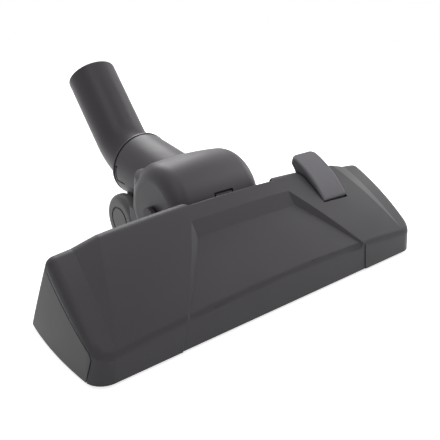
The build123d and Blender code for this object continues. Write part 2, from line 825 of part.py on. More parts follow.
# Brush frame
bar_high = brush_bar_low + brush_bar_height
tie_high = tie_low + brush_tie_height
with BuildPart() as brush_frame:
    for middle in (brush_front, brush_rear):
        cuboid((-brush_half, brush_half), (middle - brush_bar_width / 2, middle + brush_bar_width / 2),
               (brush_bar_low, bar_high))
        cuboid((-brush_half, brush_half), (middle - bristle_width / 2, middle + bristle_width / 2),
               (brush_bar_low, brush_bar_low + bristle_back), mode=Mode.SUBTRACT)
    pad = guide_side / 2 + guide_gap + guide_wall
    guide_depth = (brush_front + brush_rear) / 2
    for x in (-brush_half, brush_half):
        inner = x - brush_tie_width if x > 0 else x
        for middle in (brush_front, brush_rear):
            cuboid((inner, inner + brush_tie_width), (middle - brush_bar_width / 2, middle + brush_bar_width / 2),
                   (bar_high, tie_high))
        cuboid((inner, inner + brush_tie_width), (brush_front, brush_rear), (tie_low, tie_high))
        cuboid((x - pad, x + pad), (guide_depth - pad, guide_depth + pad), (tie_low, tie_high))
        hole = guide_side / 2 + guide_gap
        cuboid((x - hole, x + hole), (guide_depth - hole, guide_depth + hole), (tie_low, tie_high),
               mode=Mode.SUBTRACT)
    link_half = crank_pin_radius + link_gap + 1.6
    cuboid((link_span[0] - 4, link_span[1]), (brush_rear - brush_bar_width / 2, brush_rear + brush_bar_width / 2),
           (bar_high, tie_high))
    cuboid((link_span[0] - 4, link_span[1]), (brush_rear, crank_place[0] + link_half), (tie_low, tie_high))
    cuboid(link_span, (crank_place[0] - link_half, crank_place[0] + link_half),
           (tie_low, crank_place[1] + link_half))
    reach = crank_pin_radius + link_gap
    cuboid(link_span, (crank_place[0] - reach, crank_place[0] + reach),
           (crank_place[1] - reach, crank_place[1] + reach), mode=Mode.SUBTRACT)
brush_frame.part.label = "brush_frame"
export_step(brush_frame.part, "parts/brush_frame.step")

# Bristle strips: a backing with tufts
tuft_count = int(2 * brush_half / bristle_pitch)
for name, middle in (("front_bristles", brush_front), ("rear_bristles", brush_rear)):
    with BuildPart() as bristles:
        cuboid((-brush_half, brush_half), (middle - bristle_width / 2, middle + bristle_width / 2),
               (brush_bar_low, brush_bar_low + bristle_back))
        with Locations((0, y_at(middle), brush_bar_low - bristle_length / 2)):
            with GridLocations(bristle_pitch, 1, tuft_count, 1):
                Box(bristle_tuft, bristle_width, bristle_length)
    bristles.part.label = name
    export_step(bristles.part, f"parts/{name}.step")

# Pedal with its hub, crank arm and crank pin
pedal_top = ((pedal_front[0] + pedal_tip[0]) / 2, (pedal_front[1] + pedal_tip[1]) / 2 + pedal_bulge)
lip = (pedal_tip[0] + pedal_lip, pedal_tip[1] - pedal_thickness)
web_start = pedal_x + crank_width / 2 - pedal_web_width
with BuildPart() as pedal:
    with BuildSketch(side_plane(pedal_x - pedal_half)):
        with BuildLine():
            ThreePointArc(pedal_front, pedal_top, pedal_tip)
            Line(pedal_tip, lip)
            ThreePointArc(lip, pedal_throat, pedal_heel)
            Polyline(pedal_heel, pedal_belly, pedal_chin, pedal_front)
        make_face()
    extrude(amount=pedal_width)
    short = pedal.edges().filter_by(lambda edge: abs(edge.tangent_at(0.5).X) < 0.1 and edge.length < 8)
    fillet(short.filter_by(lambda edge: edge.center().Z > lip[1]), radius=pedal_tip_round)
    upward = pedal.faces().filter_by(lambda face: face.normal_at().Z > 0.5)
    fillet(upward.sort_by(SortBy.AREA)[-1].edges(), radius=pedal_edge)
    with BuildSketch(side_plane(web_start)):
        with BuildLine():
            Polyline((pedal_pivot[0] - pedal_hub_radius + 1, pedal_pivot[1]), pedal_web_front, pedal_web_rear,
                     (pedal_pivot[0] + pedal_hub_radius + 4, pedal_pivot[1]), close=True)
        make_face()
    extrude(amount=pedal_web_width)
    with BuildSketch(side_plane(pedal_x - crank_width / 2)):
        with BuildLine():
            CenterArc(pedal_pivot, pedal_hub_radius - 1, 0, 360)
            CenterArc(crank_place, crank_pin_radius + 1, 0, 360)
        make_hull()
    extrude(amount=crank_width)
    rod((pedal_x - pedal_half, pedal_x + pedal_half), *pedal_pivot, pedal_hub_radius)
    rod((pedal_x - crank_width / 2, link_span[1] + 1), *crank_place, crank_pin_radius)
    rod((pedal_x - pedal_half, pedal_x + pedal_half), *pedal_pivot, pedal_pin_radius + running_gap,
        mode=Mode.SUBTRACT)
pedal.part.label = "pedal"
export_step(pedal.part, "parts/pedal.step")

# Upper half of the neck
with BuildPart() as neck_hood:
    add(drum(0))
    add(hood_cheeks())
    add(drum(drum_wall), mode=Mode.SUBTRACT)
    add(neck_bosses())
    for span in either_way((pin_start, drum_half - drum_wall)):
        rod(span, tilt_depth, tilt_height, hinge_boss_radius)
    add(collar_rod(collar_radius + running_gap, collar_start, 2 * collar_length), mode=Mode.SUBTRACT)
    add(collar_rod(collar_relief, 0, collar_start), mode=Mode.SUBTRACT)
    split(bisect_by=floor_plane(parting_height), keep=Keep.TOP)
    for span in either_way((pin_start, drum_half)):
        rod(span, tilt_depth, tilt_height, hinge_pin_radius + running_gap, mode=Mode.SUBTRACT)
    add(arches, mode=Mode.SUBTRACT)
    slit_turn = degrees(slit_width / drum_radius)
    floor = drum_shoulder - slit_width / 2
    add(sector(window_span, floor, bay_radius, window_angle - slit_turn, window_angle), mode=Mode.SUBTRACT)
    for edge in (window_span[0], window_span[1] - slit_width):
        add(sector((edge, edge + slit_width), floor, bay_radius, window_angle - slit_turn, window_foot),
            mode=Mode.SUBTRACT)
    for x in (-neck_screw_x, neck_screw_x):
        for depth, seat in neck_screw_places:
            post(x, depth, (seat, seat + neck_screw_length), neck_screw_radius + running_gap, mode=Mode.SUBTRACT)
neck_hood.part.label = "neck_hood"
export_step(neck_hood.part, "parts/neck_hood.step")

# Lower half of the neck with the keel for the axle
with BuildPart() as neck_base:
    add(drum(0))
    add(neck_keel())
    add(drum(drum_wall), mode=Mode.SUBTRACT)
    add(neck_bosses())
    split(bisect_by=floor_plane(parting_height), keep=Keep.BOTTOM)
    add(collar_rod(collar_radius + running_gap, collar_start, 2 * collar_length), mode=Mode.SUBTRACT)
    add(collar_rod(collar_relief, 0, collar_start), mode=Mode.SUBTRACT)
    add(arches, mode=Mode.SUBTRACT)
    add(sector(aperture, drum_radius - 2 * drum_wall, bay_radius, 180, aperture_end + 10), mode=Mode.SUBTRACT)
    rod((-cheek_half, cheek_half), wheel_depth, wheel_height, axle_radius + running_gap, mode=Mode.SUBTRACT)
    for x in (-neck_screw_x, neck_screw_x):
        for depth, seat in neck_screw_places:
            post(x, depth, (0, parting_height), neck_screw_radius + running_gap, mode=Mode.SUBTRACT)
            post(x, depth, (0, seat), neck_screw_head + hole_clearance, mode=Mode.SUBTRACT)
neck_base.part.label = "neck_base"
export_step(neck_base.part, "parts/neck_base.step")

# Screws that hold the neck's halves together
with BuildPart() as neck_screws:
    for x in (-neck_screw_x, neck_screw_x):
        for depth, seat in neck_screw_places:
            post(x, depth, (seat - neck_screw_head_height, seat), neck_screw_head)
            post(x, depth, (seat, seat + neck_screw_length), neck_screw_radius)
neck_screws.part.label = "neck_screws"
export_step(neck_screws.part, "parts/neck_screws.step")

# Collar
with BuildPart() as swivel_collar:
    add(collar_rod(collar_radius, collar_start, collar_length))
    add(collar_rod(collar_relief, collar_start, collar_shoulder), mode=Mode.SUBTRACT)
    add(collar_rod(collar_bore, collar_shoulder, collar_length), mode=Mode.SUBTRACT)
    with BuildSketch(collar_plane(collar_length)):
        Circle(face_seal_outer + running_gap)
        Circle(face_seal_inner - running_gap, mode=Mode.SUBTRACT)
    extrude(amount=-face_seal_depth, mode=Mode.SUBTRACT)
    add(arches, mode=Mode.SUBTRACT)
    for span in either_way((slit_floor, collar_radius)):
        cuboid(span, (tab_end - slit_width, tab_end), (tab_low, tab_high), mode=Mode.SUBTRACT)
        cuboid(span, (tab_start, tab_end), (tab_low, tab_low + slit_width), mode=Mode.SUBTRACT)
        cuboid(span, (tab_end - 2 * slit_width, tab_end), (tab_high - slit_width, tab_high), mode=Mode.SUBTRACT)
swivel_collar.part.label = "swivel_collar"
export_step(swivel_collar.part, "parts/swivel_collar.step")

# Seal on the collar's end face
with BuildPart() as swivel_seal:
    with BuildSketch(collar_plane(collar_length - face_seal_depth)):
        Circle(face_seal_outer)
        Circle(face_seal_inner, mode=Mode.SUBTRACT)
    extrude(amount=face_seal_depth + face_seal_proud)
swivel_seal.part.label = "swivel_seal"
export_step(swivel_seal.part, "parts/swivel_seal.step")

# Connector tube: spigot, flange, bend and wand socket
ring_start = collar_shoulder - ring_gap - ring_width
spigot_start = ring_start - 1.6
tube_way = Vector(0, cos(radians(tube_rise)), sin(radians(tube_rise)))
tube_root = collar_length + swivel_gap


def tube_route(start):
    """Points of the tube's middle line: start, bend start, bend middle, bend end and end."""
    half_turn = radians((collar_rise + tube_rise) / 2)
    bend = collar_plane(collar_length + collar_step).origin
    middle = bend + Vector(0, sin(half_turn) - sin(radians(collar_rise)),
                           cos(radians(collar_rise)) - cos(half_turn)) * tube_bend_radius
    knee = bend + Vector(0, sin(radians(tube_rise)) - sin(radians(collar_rise)),
                         cos(radians(collar_rise)) - cos(radians(tube_rise))) * tube_bend_radius
    return collar_plane(start).origin, bend, middle, knee, knee + tube_way * tube_length


def tube_run(radius, start):
    """Round bar along the tube's middle line."""
    first, bend, middle, knee, end = tube_route(start)
    with BuildPart() as run:
        with BuildLine() as line:
            Line(first, bend)
            ThreePointArc(bend, middle, knee)
            Line(knee, end)
        with BuildSketch(collar_plane(start)):
            Circle(radius)
        sweep(path=line.wires()[0])
    return run.part


with BuildPart() as connector_tube:
    add(tube_run(tube_radius, tube_root))
    add(collar_rod(collar_bore - running_gap, spigot_start, tube_root))
    add(collar_rod(flange_radius, tube_root, tube_root + flange_thickness))
    rim = connector_tube.edges().filter_by(GeomType.CIRCLE).sort_by(Axis((0, 0, 0), tube_way))[-1]
    fillet(rim, radius=tube_rim_round)
    add(tube_run(tube_bore, spigot_start), mode=Mode.SUBTRACT)
    with BuildSketch(Plane(origin=tube_route(0)[-1], x_dir=(1, 0, 0), z_dir=tube_way)):
        Circle(wand_bore)
    extrude(amount=-wand_depth, mode=Mode.SUBTRACT)
    with BuildSketch(collar_plane(ring_start - running_gap)):
        Circle(collar_bore)
        Circle(ring_groove, mode=Mode.SUBTRACT)
    extrude(amount=ring_width + 2 * running_gap, mode=Mode.SUBTRACT)
connector_tube.part.label = "connector_tube"
export_step(connector_tube.part, "parts/connector_tube.step")

# Snap ring that keeps the tube in the collar
with BuildPart() as swivel_retaining_ring:
    with BuildSketch(collar_plane(ring_start)):
        Circle(ring_radius)
        Circle(ring_groove + running_gap, mode=Mode.SUBTRACT)
    extrude(amount=ring_width)
swivel_retaining_ring.part.label = "swivel_retaining_ring"
export_step(swivel_retaining_ring.part, "parts/swivel_retaining_ring.step")

# Rear axle
wheel_outer = wheel_inner + wheel_width
hub_end = wheel_outer - 2.5
with BuildPart() as wheel_axle:
    rod((-hub_end + link_gap, hub_end - link_gap), wheel_depth, wheel_height, axle_radius)
wheel_axle.part.label = "wheel_axle"
export_step(wheel_axle.part, "parts/wheel_axle.step")

# Rear wheels
for name, side in (("left_wheel", -1), ("right_wheel", 1)):
    with BuildPart() as wheel:
        with BuildSketch(axis_plane(wheel_depth, wheel_height)) as section:
            with BuildLine():
                Polyline((side * wheel_inner, axle_radius + running_gap), (side * wheel_inner, wheel_radius),
                         (side * wheel_outer, wheel_radius), (side * wheel_outer, 0), (side * hub_end, 0),
                         (side * hub_end, axle_radius + running_gap), close=True)
            make_face()
            tread = section.vertices().group_by(Axis.Y)[-1]
            fillet(tread, radius=wheel_round)
            with Locations((side * (wheel_outer - wheel_groove_depth / 2), wheel_groove_radius)):
                Rectangle(wheel_groove_depth, wheel_groove_width, mode=Mode.SUBTRACT)
        revolve(axis=Axis((0, y_at(wheel_depth), wheel_height), (1, 0, 0)))
    wheel.part.label = name
    export_step(wheel.part, f"parts/{name}.step")

# Sole rollers and their pins
for name, x in (("left_roller", -roller_x), ("right_roller", roller_x)):
    with BuildPart() as roller:
        rod((x - roller_width / 2, x + roller_width / 2), roller_depth, roller_radius, roller_radius)
        rod((x - roller_width / 2, x + roller_width / 2), roller_depth, roller_radius,
            roller_pin_radius + running_gap, mode=Mode.SUBTRACT)
    roller.part.label = name
    export_step(roller.part, f"parts/{name}.step")
    with BuildPart() as roller_pin:
        rod((x - room - roller_cheek, x + room + roller_cheek), roller_depth, roller_radius, roller_pin_radius)
    roller_pin.part.label = f"{name}_pin"
    export_step(roller_pin.part, f"parts/{name}_pin.step")
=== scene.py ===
# %% [markdown]
# A vacuum cleaner's floor brush head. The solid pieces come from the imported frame, already in
# place and in metres. This script gives each of them its finish, adds the small repeated things
# that solids can't show well, such as bristles, lint pile and screw slots, and sets up a studio.

# %% Load the frame
import json
import math

import bmesh
import bpy
from mathutils import Matrix, Vector


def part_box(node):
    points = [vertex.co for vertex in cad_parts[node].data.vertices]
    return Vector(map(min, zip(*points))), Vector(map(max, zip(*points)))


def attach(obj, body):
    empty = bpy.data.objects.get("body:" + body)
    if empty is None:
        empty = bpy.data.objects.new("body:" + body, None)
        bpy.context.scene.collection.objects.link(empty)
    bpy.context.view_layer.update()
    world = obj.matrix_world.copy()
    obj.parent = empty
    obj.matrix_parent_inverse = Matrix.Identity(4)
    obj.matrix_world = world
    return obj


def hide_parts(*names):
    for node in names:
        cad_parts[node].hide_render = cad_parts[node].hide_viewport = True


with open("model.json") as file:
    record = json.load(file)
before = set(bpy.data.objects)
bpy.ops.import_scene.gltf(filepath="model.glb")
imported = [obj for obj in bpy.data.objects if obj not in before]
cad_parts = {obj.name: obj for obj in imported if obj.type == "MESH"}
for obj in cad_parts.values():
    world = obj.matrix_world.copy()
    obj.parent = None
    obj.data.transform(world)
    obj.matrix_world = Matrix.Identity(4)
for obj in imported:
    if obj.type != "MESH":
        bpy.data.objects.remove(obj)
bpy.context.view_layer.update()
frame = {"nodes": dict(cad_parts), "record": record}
scene = bpy.context.scene
scene.view_settings.view_transform = "Standard"

# %% [markdown]
# The camera stands where the photograph was taken from: in front, to the left and a little above
# the head. Its place could be set by eye, but it was fitted to the outline of the cover and the tube,
# so the solids land on nearly the same pixels. The frame is square, so a lens that is given for a
# sensor width fixes the view by itself.

# %% Camera
CAMERA_PLACE = (-0.2423, -0.3646, 0.2110)
CAMERA_TARGET = (0.0246, -0.0294, 0.0210)
CAMERA_LENS = 50.73
SENSOR_WIDTH = 36.0
NEAREST_SEEN = 0.01


def facing(place, target):
    """Turn of a camera or lamp that looks from one point at another."""
    return (Vector(target) - Vector(place)).to_track_quat("-Z", "Y").to_euler()


camera = bpy.data.objects.new("camera", bpy.data.cameras.new("camera"))
camera.data.sensor_width = SENSOR_WIDTH
camera.data.lens = CAMERA_LENS
camera.data.clip_start = NEAREST_SEEN
camera.location = CAMERA_PLACE
camera.rotation_euler = facing(CAMERA_PLACE, CAMERA_TARGET)
scene.collection.objects.link(camera)
scene.camera = camera
print("camera to target:", round((Vector(CAMERA_TARGET) - Vector(CAMERA_PLACE)).length, 3), "m")

# %% [markdown]
# The world is the even part of the light, which reaches the front wall and the ends too. The camera
# and mirror-like surfaces see it as plain white, while it lights the object much less. In this way the
# background is white and the dark plastic isn't washed out. A white wall with more lamps on it would
# do the same, but the lamps would also reach the object.

# %% World
WORLD_LIGHT = 0.11
WORLD_SEEN = 1.0
WHITE = (1.0, 1.0, 1.0, 1.0)


def give(tree, socket, value):
    """Sets an input to a number, or links it to another node's output."""
    if isinstance(value, bpy.types.NodeSocket):
        tree.links.new(value, socket)
    else:
        socket.default_value = value


def arithmetic(tree, operation, first, second):
    """Math node on two values, each a number or an output; gives its own output."""
    node = tree.nodes.new("ShaderNodeMath")
    node.operation = operation
    give(tree, node.inputs[0], first)
    give(tree, node.inputs[1], second)
    return node.outputs["Value"]


def seen_strength(tree, strength, hidden, shown):
    """Gives a light one strength for the camera, mirrors and glass, and another for what it lights."""
    path = tree.nodes.new("ShaderNodeLightPath").outputs
    seen = path["Is Camera Ray"]
    for kind in ("Is Glossy Ray", "Is Transmission Ray"):
        seen = arithmetic(tree, "MAXIMUM", seen, path[kind])
    level = tree.nodes.new("ShaderNodeMapRange")
    level.inputs["To Min"].default_value = hidden
    level.inputs["To Max"].default_value = shown
    tree.links.new(seen, level.inputs["Value"])
    tree.links.new(level.outputs["Result"], strength)


world = bpy.data.worlds.new("studio")
world.use_nodes = True
scene.world = world
backdrop = world.node_tree.nodes["Background"]
backdrop.inputs["Color"].default_value = WHITE
seen_strength(world.node_tree, backdrop.inputs["Strength"], hidden=WORLD_LIGHT, shown=WORLD_SEEN)
print("world: lights with", WORLD_LIGHT, "and shows", WORLD_SEEN)

# %% [markdown]
# The photograph is lit softly from high up: most from behind, which makes the tops of the neck and the
# pedal shine, and more weakly from the right and from the upper left, which picks out the bands that
# face that way. Small lamps would give hard shadows, so these are wide squares.

# %% Lamps
LAMP_SIZE = 0.6
LAMP_AIM = (0.0, 0.0, 0.05)
LAMPS = (
    ("behind_above", (0.30, 0.75, 0.75), 7.6),
    ("right_side", (0.95, -0.05, 0.45), 3.0),
    ("right_front", (0.55, -0.55, 0.90), 2.5),
    ("overhead", (0.0, 0.05, 1.20), 0.9),
    ("upper_left", (-0.50, -0.40, 1.00), 2.2),
)

for name, place, power in LAMPS:
    lamp = bpy.data.objects.new(name, bpy.data.lights.new(name, "AREA"))
    lamp.data.size = LAMP_SIZE
    lamp.data.energy = power
    lamp.location = place
    lamp.rotation_euler = facing(place, LAMP_AIM)
    scene.collection.objects.link(lamp)
    print("lamp:", name, power, "W")

# %% [markdown]
# The floor is a pale sheet that fades into the white room before it ends, so that no horizon shows.
# Part of its brightness is its own, so the shadow under the head stays faint, as in the photograph. The
# object gets only a little of that glow, or its front wall would be lit from below. Seen from under it
# the floor is clear, so that the sole can be looked at.

# %% Floor sheet
FLOOR_HALF = 1.6
FLOOR_DROP = 0.0002

floor_mesh = bpy.data.meshes.new("floor")
floor_corners = [(-FLOOR_HALF, -FLOOR_HALF, 0), (FLOOR_HALF, -FLOOR_HALF, 0),
                 (FLOOR_HALF, FLOOR_HALF, 0), (-FLOOR_HALF, FLOOR_HALF, 0)]
floor_mesh.from_pydata(floor_corners, [], [(0, 1, 2, 3)])
floor = bpy.data.objects.new("floor", floor_mesh)
floor.location.z = -FLOOR_DROP
scene.collection.objects.link(floor)
print("floor:", 2 * FLOOR_HALF, "m wide")

# %% Floor paint
FLOOR_COLOUR = (0.82, 0.82, 0.82, 1.0)
FLOOR_ROUGHNESS = 0.9
FLOOR_SHINE = 0.1
FLOOR_GLOW = 0.80
FLOOR_BOUNCE = 0.26
FADE_START = 0.45
FADE_END = 1.2

floor_paint = bpy.data.materials.new("floor_paint")
floor_paint.use_nodes = True
tree = floor_paint.node_tree
paint = tree.nodes["Principled BSDF"]
paint.inputs["Base Color"].default_value = FLOOR_COLOUR
paint.inputs["Roughness"].default_value = FLOOR_ROUGHNESS
paint.inputs["Specular IOR Level"].default_value = FLOOR_SHINE
paint.inputs["Emission Color"].default_value = WHITE
seen_strength(tree, paint.inputs["Emission Strength"], hidden=FLOOR_BOUNCE, shown=FLOOR_GLOW)
reach = tree.nodes.new("ShaderNodeVectorMath")
reach.operation = "LENGTH"
tree.links.new(tree.nodes.new("ShaderNodeTexCoord").outputs["Object"], reach.inputs[0])
fade = tree.nodes.new("ShaderNodeMapRange")
fade.interpolation_type = "SMOOTHSTEP"
fade.inputs["From Min"].default_value = FADE_START
fade.inputs["From Max"].default_value = FADE_END
tree.links.new(reach.outputs["Value"], fade.inputs["Value"])
from_below = tree.nodes.new("ShaderNodeNewGeometry").outputs["Backfacing"]
clear = tree.nodes.new("ShaderNodeBsdfTransparent")
mixed = tree.nodes.new("ShaderNodeMixShader")
tree.links.new(arithmetic(tree, "MAXIMUM", fade.outputs["Result"], from_below), mixed.inputs["Fac"])
tree.links.new(paint.outputs["BSDF"], mixed.inputs[1])
tree.links.new(clear.outputs["BSDF"], mixed.inputs[2])
tree.links.new(mixed.outputs["Shader"], tree.nodes["Material Output"].inputs["Surface"])
floor_mesh.materials.append(floor_paint)
print("floor fades from", FADE_START, "to", FADE_END, "m")

# %% [markdown]
# Every finish is built from the same few parts: a noise of a known size, a range that the noise is
# spread over, a blend of two colours and a bump. Pictures could do this too, but they would need the
# pieces unwrapped. These patterns use object coordinates in metres, so they have one size on all pieces.

# %% Parts of a finish
NOISE_LOW = 0.3
NOISE_HIGH = 0.7
EDGE_SAMPLES = 6


def new_material(name):
    """Material with nodes, and its tree, shader and object coordinates."""
    material = bpy.data.materials.new(name)
    material.use_nodes = True
    tree = material.node_tree
    coordinates = tree.nodes.new("ShaderNodeTexCoord").outputs["Object"]
    return material, tree, tree.nodes["Principled BSDF"], coordinates


def noise(tree, coordinates, size, detail=3.0):
    """Noise whose lumps have about a size in metres; gives its value output."""
    texture = tree.nodes.new("ShaderNodeTexNoise")
    texture.inputs["Scale"].default_value = 1.0 / size
    texture.inputs["Detail"].default_value = detail
    tree.links.new(coordinates, texture.inputs["Vector"])
    return texture.outputs["Fac"]


def spread(tree, value, low, high):
    """Maps a noise's usual range to two limits."""
    limits = tree.nodes.new("ShaderNodeMapRange")
    limits.inputs["From Min"].default_value = NOISE_LOW
    limits.inputs["From Max"].default_value = NOISE_HIGH
    limits.inputs["To Min"].default_value = low
    limits.inputs["To Max"].default_value = high
    tree.links.new(value, limits.inputs["Value"])
    return limits.outputs["Result"]


def blend_colours(tree, value, first, second):
    """Colour between two, by a value."""
    mix = tree.nodes.new("ShaderNodeMix")
    mix.data_type = "RGBA"
    mix.inputs["A"].default_value = (*first, 1)
    mix.inputs["B"].default_value = (*second, 1)
    tree.links.new(value, mix.inputs["Factor"])
    return mix.outputs["Result"]


def bumped(tree, shader, height, distance, strength, edge=0.0):
    """Bump from a height, over edges rounded by a radius in metres."""
    bump = tree.nodes.new("ShaderNodeBump")
    bump.inputs["Distance"].default_value = distance
    bump.inputs["Strength"].default_value = strength
    tree.links.new(height, bump.inputs["Height"])
    if edge:
        rounding = tree.nodes.new("ShaderNodeBevel")
        rounding.samples = EDGE_SAMPLES
        rounding.inputs["Radius"].default_value = edge
        tree.links.new(rounding.outputs["Normal"], bump.inputs["Normal"])
    tree.links.new(bump.outputs["Normal"], shader.inputs["Normal"])


print("noise is spread from", NOISE_LOW, "to", NOISE_HIGH)

# %% [markdown]
# Nearly everything is moulded plastic, with the fine matt grain that the mould's etched wall leaves.
# One recipe covers it: a colour that drifts very slightly, a roughness that varies with the same
# cloudiness, and a fine noise as bump for the grain. The edges are rounded a little in the shading,
# because a moulded edge always catches a thin line of light. Where the plastic closes in on itself, as
# in the gap round a bumper, the colour is darkened: this is painted shade, from an occlusion node in
# the base colour. Its shine is low, because it mirrors a room that is white all round.

# %% Moulded plastic
CLOUD_SIZE = 0.03
CLOUD_DETAIL = 5.0
COLOUR_DRIFT = 0.06
ROUGHNESS_DRIFT = 0.04
GRAIN_SIZE = 0.00045
GRAIN_DEPTH = 0.00003
GRAIN_STRENGTH = 0.4
EDGE_RADIUS = 0.0007
# reach and samples of the painted shade in narrow gaps
PAINTED_SHADE_REACH = 0.0025
PAINTED_SHADE_SAMPLES = 8
PLASTIC_SHINE = 0.25


def painted_crevice_shade(tree, colour):
    """Paints shade into a colour: darkens it in narrow gaps."""
    shade = tree.nodes.new("ShaderNodeAmbientOcclusion")
    shade.samples = PAINTED_SHADE_SAMPLES
    shade.inputs["Distance"].default_value = PAINTED_SHADE_REACH
    tree.links.new(colour, shade.inputs["Color"])
    return shade.outputs["Color"]


def moulded_plastic(name, colour, roughness):
    """Matt plastic with mould grain, softened edges and painted shade in its gaps."""
    material, tree, shader, coordinates = new_material(name)
    cloud = noise(tree, coordinates, CLOUD_SIZE, CLOUD_DETAIL)
    darker = [c * (1 - COLOUR_DRIFT) for c in colour]
    lighter = [c * (1 + COLOUR_DRIFT) for c in colour]
    # painted shade: occlusion darkens the base colour in gaps and creases
    colour_with_painted_shade = painted_crevice_shade(tree, blend_colours(tree, cloud, darker, lighter))
    tree.links.new(colour_with_painted_shade, shader.inputs["Base Color"])
    mattness = spread(tree, cloud, roughness - ROUGHNESS_DRIFT, roughness + ROUGHNESS_DRIFT)
    tree.links.new(mattness, shader.inputs["Roughness"])
    shader.inputs["Specular IOR Level"].default_value = PLASTIC_SHINE
    grain = noise(tree, coordinates, GRAIN_SIZE)
    bumped(tree, shader, grain, GRAIN_DEPTH, GRAIN_STRENGTH, EDGE_RADIUS)
    return material


PLASTICS = {
    "cover_plastic": ((0.050, 0.046, 0.051), 0.50),
    "bumper_plastic": ((0.101, 0.102, 0.105), 0.60),
    "sole_plastic": ((0.030, 0.030, 0.032), 0.46),
    "pedal_plastic": ((0.160, 0.153, 0.168), 0.50),
    "brush_plastic": ((0.024, 0.024, 0.025), 0.46),
    "neck_plastic": ((0.080, 0.073, 0.081), 0.44),
    "tube_plastic": ((0.058, 0.051, 0.059), 0.38),
    "wheel_plastic": ((0.125, 0.122, 0.125), 0.46),
    "ring_plastic": ((0.42, 0.41, 0.39), 0.42),
}
finishes = {name: moulded_plastic(name, *look) for name, look in PLASTICS.items()}
print("plastics:", len(finishes))

# %% [markdown]
# The seals are rubber, which is darker and duller than the plastic and has a coarser skin with a
# powdery bloom. The pins and screws are steel that was drawn or turned, so on the pins its brightness
# runs in fine lines round the piece. A noise that is squeezed along the pin gives such lines.

# %% Rubber and steel
BLOOM_BRIGHTNESS = 2.2
TARNISH_DARKNESS = 0.7
LINE_SQUEEZE = (30.0, 1.0, 1.0)


def rubber(name, colour):
    """Dull soft rubber with a powdery bloom."""
    material, tree, shader, coordinates = new_material(name)
    bloom = noise(tree, coordinates, size=0.004, detail=6.0)
    pale = [BLOOM_BRIGHTNESS * c for c in colour]
    tree.links.new(blend_colours(tree, bloom, colour, pale), shader.inputs["Base Color"])
    tree.links.new(spread(tree, bloom, low=0.62, high=0.82), shader.inputs["Roughness"])
    bumped(tree, shader, noise(tree, coordinates, size=0.0008), distance=0.00006, strength=0.5)
    return material


def drawn_steel(name, colour):
    """Steel with fine lines across X and a little tarnish."""
    material, tree, shader, coordinates = new_material(name)
    shader.inputs["Metallic"].default_value = 1.0
    squeeze = tree.nodes.new("ShaderNodeMapping")
    squeeze.inputs["Scale"].default_value = LINE_SQUEEZE
    tree.links.new(coordinates, squeeze.inputs["Vector"])
    lines = noise(tree, squeeze.outputs["Vector"], size=0.002, detail=4.0)
    tarnish = noise(tree, coordinates, size=0.006, detail=5.0)
    dull = [TARNISH_DARKNESS * c for c in colour]
    tree.links.new(blend_colours(tree, tarnish, dull, colour), shader.inputs["Base Color"])
    tree.links.new(spread(tree, lines, low=0.22, high=0.42), shader.inputs["Roughness"])
    bumped(tree, shader, lines, distance=0.00002, strength=0.3)
    return material


finishes["seal_rubber"] = rubber("seal_rubber", (0.012, 0.012, 0.012))
finishes["steel"] = drawn_steel("steel", (0.60, 0.60, 0.61))
print("rubber and steel added:", len(finishes))

# %% [markdown]
# The lint strips are short red pile, whose colour varies from hair to hair and which has a soft sheen.
# The bristles are nylon with painted shade: their colour darkens towards the root, where no light gets
# in. The shade follows the height, because all bristles of a strip hang from one backing.

# %% Pile and nylon
PILE_DARKNESS = 0.55
BRISTLE_ROOT_SHADE = (0.006, 0.006, 0.007)
BRISTLE_TIP_COLOUR = (0.035, 0.034, 0.036)


def pile_fabric(name, colour):
    """Short pile: a colour that varies from hair to hair and a soft sheen."""
    material, tree, shader, coordinates = new_material(name)
    hairs = noise(tree, coordinates, size=0.0006, detail=2.0)
    shader.inputs["Sheen Weight"].default_value = 0.6
    shader.inputs["Sheen Roughness"].default_value = 0.5
    dark = [PILE_DARKNESS * c for c in colour]
    tree.links.new(blend_colours(tree, hairs, dark, colour), shader.inputs["Base Color"])
    tree.links.new(spread(tree, hairs, low=0.75, high=0.95), shader.inputs["Roughness"])
    bumped(tree, shader, hairs, distance=0.0001, strength=0.6)
    return material


def nylon(name, root, tip, low, high):
    """Bristle nylon, lighter towards the tip, with painted shade towards the root; low and high are the
    heights of tip and root.
    """
    material, tree, shader, coordinates = new_material(name)
    split = tree.nodes.new("ShaderNodeSeparateXYZ")
    tree.links.new(coordinates, split.inputs["Vector"])
    along = tree.nodes.new("ShaderNodeMapRange")
    along.inputs["From Min"].default_value = low
    along.inputs["From Max"].default_value = high
    tree.links.new(split.outputs["Z"], along.inputs["Value"])
    # painted shade: the colour goes from the tip colour to the dark root shade with height
    tree.links.new(blend_colours(tree, along.outputs["Result"], tip, root), shader.inputs["Base Color"])
    streak = noise(tree, coordinates, size=0.0007, detail=2.0)
    tree.links.new(spread(tree, streak, low=0.32, high=0.52), shader.inputs["Roughness"])
    return material


bristle_low, bristle_high = (corner.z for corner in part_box("front_bristles"))
finishes["lint_fabric"] = pile_fabric("lint_fabric", (0.30, 0.022, 0.026))
finishes["bristle"] = nylon("bristle", BRISTLE_ROOT_SHADE, BRISTLE_TIP_COLOUR, bristle_low, bristle_high)
print("pile and nylon added:", len(finishes))

# %% [markdown]
# Each solid says in the record which finish it has, so a loop can dress them all.

# %% Dress the solids
for entry in frame["record"]["subparts"]:
    piece = frame["nodes"][entry["node"]]
    piece.data.materials.clear()
    piece.data.materials.append(finishes[entry["material_slot"]])

# %% [markdown]
# What repeats is made by geometry nodes and then turned into a plain mesh. A tree has a named input for
# each of its sizes, which the modifier finds by the socket's identifier. It ends with the copies made
# real and given their finish, because copies that stay instances would be lost in a plain mesh.

# %% Mesh and tree helpers
def place_mesh(name, mesh):
    """New object in the scene that holds a mesh."""
    made = bpy.data.objects.new(name, mesh)
    scene.collection.objects.link(made)
    return made


def close_edit(name, edit):
    """New object in the scene from a mesh that was being edited."""
    mesh = bpy.data.meshes.new(name)
    edit.to_mesh(mesh)
    edit.free()
    return place_mesh(name, mesh)


